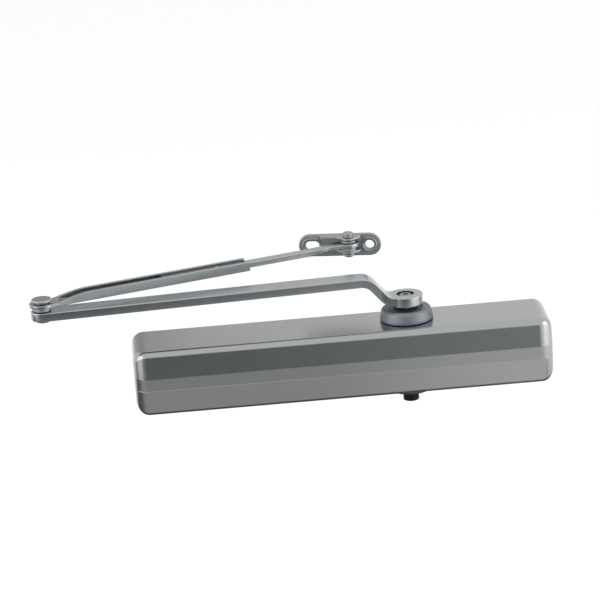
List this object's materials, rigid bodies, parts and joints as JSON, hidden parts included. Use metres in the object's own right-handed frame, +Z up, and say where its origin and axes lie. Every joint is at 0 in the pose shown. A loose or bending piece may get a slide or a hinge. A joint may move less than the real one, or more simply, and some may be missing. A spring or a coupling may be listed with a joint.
{
  "type": "door closer",
  "caption": "Surface-mounted rack-and-pinion door closer with a full cover, a cranked main arm, a telescoping forearm and a forked shoe",
  "frame": {"origin": "centre of the housing's flat back face, which lies on the door", "axes": "+X along the body toward its spindle end, +Y into the door, +Z up along the spindle; the cover faces -Y"},
  "size_m": [0.3831, 0.1094, 0.1172],
  "materials": {
    "cover_paint": "silver-grey metallic paint, satin, with a fine orange peel",
    "arm_paint": "silver-grey metallic paint on steel",
    "cap_paint": "bluish grey metallic paint over a cast texture",
    "cast_iron": "bare casting, machined on its back and bore",
    "steel": "machined, lightly oiled",
    "spring_steel": "dark oil-tempered wire",
    "brass": "turned brass",
    "rubber": "black nitrile",
    "black_plastic": "moulded, black"
  },
  "bodies": {
    "closer_body": {"cover": "cover_paint", "housing": "cast_iron", "upper_cap": "cap_paint", "lower_cap": "cap_paint", "upper_bearing": "steel", "lower_bearing": "steel", "upper_shaft_seal": "rubber", "lower_shaft_seal": "rubber", "left_end_plug": "steel", "right_end_plug": "steel", "left_plug_oring": "rubber", "right_plug_oring": "rubber", "backcheck_valve_oring": "rubber", "latch_valve_oring": "rubber", "sweep_valve_oring": "rubber", "left_cover_bracket": "steel", "right_cover_bracket": "steel", "left_cover_screw": "steel", "right_cover_screw": "steel", "outer_spring": "spring_steel", "inner_spring": "spring_steel"},
    "spindle_and_arm": {"pinion_shaft": "steel", "arm_screw": "steel", "spindle_plug": "black_plastic", "main_arm": "arm_paint", "elbow_stud": "arm_paint", "elbow_spacer": "steel"},
    "piston_set": {"piston": "steel", "piston_spring_side_seal": "rubber", "piston_end_side_seal": "rubber", "check_ball": "steel", "check_ball_retainer": "brass"},
    "seat": {"spring_seat": "steel"},
    "adjuster": {"spring_adjusting_screw": "steel"},
    "backcheck": {"backcheck_valve": "brass"},
    "latch": {"latch_valve": "brass"},
    "sweep": {"sweep_valve": "brass"},
    "forearm": {"forearm_channel": "arm_paint", "elbow_bush": "brass", "elbow_washer": "steel"},
    "clamp": {"forearm_clamp_screw": "steel"},
    "telescoping_rod": {"forearm_rod": "arm_paint"},
    "shoe_set": {"shoe": "arm_paint", "shoe_pin": "arm_paint", "shoe_upper_washer": "steel", "shoe_lower_washer": "steel"}
  },
  "joints": [
    {"name": "spindle_turn", "type": "hinge", "parent": "closer_body", "child": "spindle_and_arm", "pos_m": [0.05, -0.022, 0.04], "axis": [0, 0, 1], "range_deg": [0, 170], "stiffness_Nm_per_rad": 6, "springref_deg": -57.3},
    {"name": "piston_slide", "type": "slide", "parent": "closer_body", "child": "piston_set", "axis": [-1, 0, 0], "range_m": [0, 0.0242], "deforming": ["outer_spring", "inner_spring"]},
    {"name": "spring_adjuster_turn", "type": "hinge", "parent": "closer_body", "child": "adjuster", "pos_m": [-0.12, -0.022, 0], "axis": [1, 0, 0], "range_deg": [0, 1440]},
    {"name": "spring_seat_slide", "type": "slide", "parent": "closer_body", "child": "seat", "axis": [1, 0, 0], "range_m": [0, 0.0062]},
    {"name": "backcheck_turn", "type": "hinge", "parent": "closer_body", "child": "backcheck", "pos_m": [0.087, -0.046, 0], "axis": [0, -1, 0], "range_deg": [0, 720]},
    {"name": "latch_turn", "type": "hinge", "parent": "closer_body", "child": "latch", "pos_m": [0.096, -0.046, 0], "axis": [0, -1, 0], "range_deg": [0, 720]},
    {"name": "sweep_turn", "type": "hinge", "parent": "closer_body", "child": "sweep", "pos_m": [0.105, -0.046, 0], "axis": [0, -1, 0], "range_deg": [0, 720]},
    {"name": "elbow_turn", "type": "hinge", "parent": "spindle_and_arm", "child": "forearm", "pos_m": [-0.21828, -0.0417, 0.0652], "axis": [0, 0, 1], "range_deg": [0, 150]},
    {"name": "clamp_screw_turn", "type": "hinge", "parent": "forearm", "child": "clamp", "pos_m": [-0.08773, 0.00936, 0.0667], "axis": [-0.3173, 0.9483, 0], "range_deg": [0, 360]},
    {"name": "forearm_slide", "type": "slide", "parent": "forearm", "child": "telescoping_rod", "axis": [0.9483, 0.3173, 0], "range_m": [-0.03, 0.04]},
    {"name": "shoe_turn", "type": "hinge", "parent": "telescoping_rod", "child": "shoe_set", "pos_m": [0.01406, 0.03604, 0.0685], "axis": [0, 0, 1], "range_deg": [-120, 28]}
  ],
  "couplings": [
    {"joint": "piston_slide", "follows": "spindle_turn", "m_per_rad": 0.008},
    {"joint": "spring_seat_slide", "follows": "spring_adjuster_turn", "m_per_rad": 0.000239}
  ]
}
